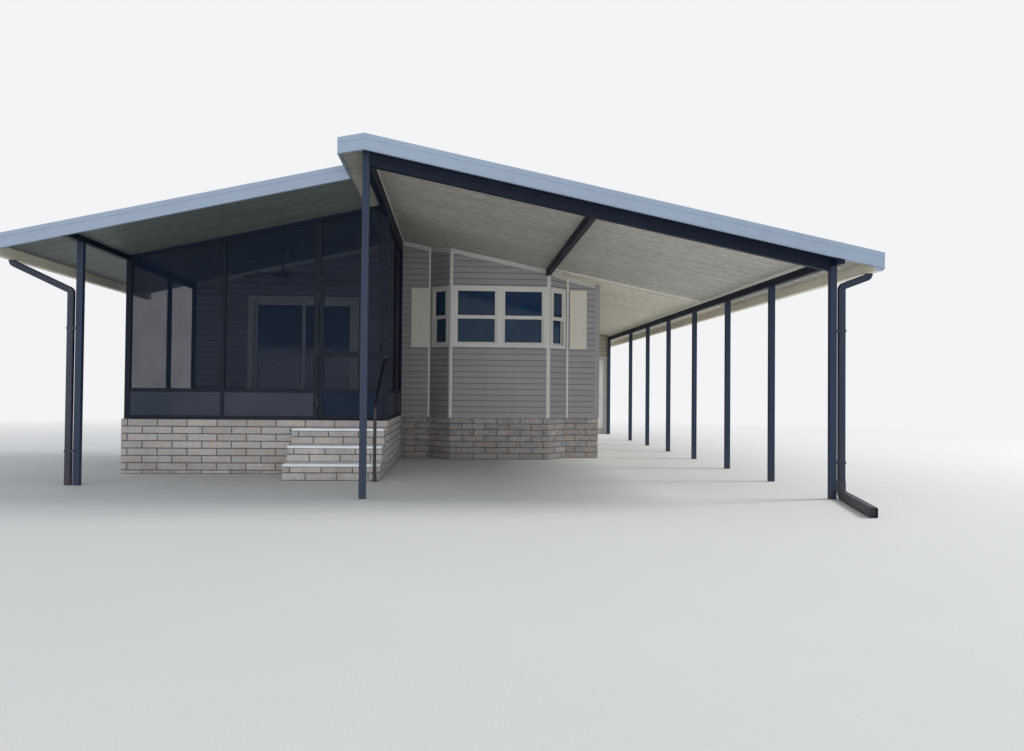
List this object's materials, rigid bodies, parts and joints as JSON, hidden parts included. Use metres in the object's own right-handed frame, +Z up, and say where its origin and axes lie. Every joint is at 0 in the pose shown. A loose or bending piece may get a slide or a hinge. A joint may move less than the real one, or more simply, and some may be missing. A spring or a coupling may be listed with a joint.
{
  "type": "carport",
  "caption": "Low gabled carport roof on slim metal posts, with a screened porch on a block base under one slope and the walls the roof is fixed to.",
  "frame": {"origin": "centre of the foot of the front ridge post, on the ground", "axes": "+X to the right along the front, +Y back towards the wall, +Z up"},
  "size_m": [10.2572, 17.5651, 3.96],
  "materials": {
    "roof_panel": "satin cream-grey enamel",
    "fascia": "satin off-white enamel",
    "bronze": "satin dark bronze enamel",
    "block": "split-face block",
    "tread": "pale concrete cap",
    "floor": "concrete",
    "screen": "dark insect mesh",
    "siding": "lap siding",
    "trim": "off-white trim",
    "glass": "dark tinted pane",
    "door_paint": "satin off-white",
    "rail_paint": "satin black enamel",
    "fan": "satin bronze-brown enamel"
  },
  "bodies": {
    "structure": {"carport_roof": "roof_panel", "side_roof": "roof_panel", "porch_roof": "roof_panel", "front_fascia": "fascia", "porch_fascia": "fascia", "gutters": "fascia", "front_beam": "bronze", "ridge_beam": "bronze", "middle_beam": "bronze", "side_beam": "bronze", "porch_beam": "bronze", "front_ridge_post": "bronze", "side_posts": "bronze", "porch_post": "bronze", "downspouts": "bronze", "front_block_wall": "block", "side_block_walls": "block", "porch_floor": "floor", "front_screen_frame": "bronze", "over_door_frame": "bronze", "side_screen_frames": "bronze", "kick_panels": "bronze", "insect_screens": "screen", "screen_door_hinges": "rail_paint", "room_door_hinges": "rail_paint", "block_steps": "block", "step_treads": "tread", "handrail": "rail_paint", "fan_mount": "rail_paint", "end_wall_left": "siding", "over_slider_wall": "siding", "end_wall_middle": "siding", "end_wall_right": "siding", "bay_front_wall": "siding", "bay_side_walls": "siding", "wall_trim": "trim", "bay_window_frame": "trim", "side_window_frames": "trim", "window_glass": "glass", "shutters": "trim", "slider_frame": "trim", "fixed_panel": "trim", "fixed_glass": "glass", "end_skirting": "block", "side_skirting": "block", "side_wall": "siding", "room_front_wall": "siding", "over_room_door": "siding", "room_side_wall": "siding", "room_rear_wall": "siding", "room_floor": "floor"},
    "screen_door_leaf": {"screen_door": "bronze", "door_infill": "screen"},
    "patio_door_leaf": {"sliding_panel": "trim", "sliding_glass": "glass"},
    "room_door_leaf": {"room_door": "door_paint"},
    "fan_rotor": {"fan_blades": "fan"}
  },
  "joints": [
    {"name": "screen_door_hinge", "type": "hinge", "parent": "structure", "child": "screen_door_leaf", "pos_m": [-0.9295, 2.654, 0], "axis": [0, 0, -1], "range_deg": [0, 90]},
    {"name": "patio_door_slide", "type": "slide", "parent": "structure", "child": "patio_door_leaf", "axis": [-1, 0, 0], "range_m": [0, 0.8]},
    {"name": "room_door_hinge", "type": "hinge", "parent": "structure", "child": "room_door_leaf", "pos_m": [4.3335, 13.942, 0], "axis": [0, 0, -1], "range_deg": [0, 90]},
    {"name": "fan_spin", "type": "hinge", "parent": "structure", "child": "fan_rotor", "pos_m": [-1.8, 4.35, 3], "axis": [0, 0, 1], "continuous": true}
  ]
}
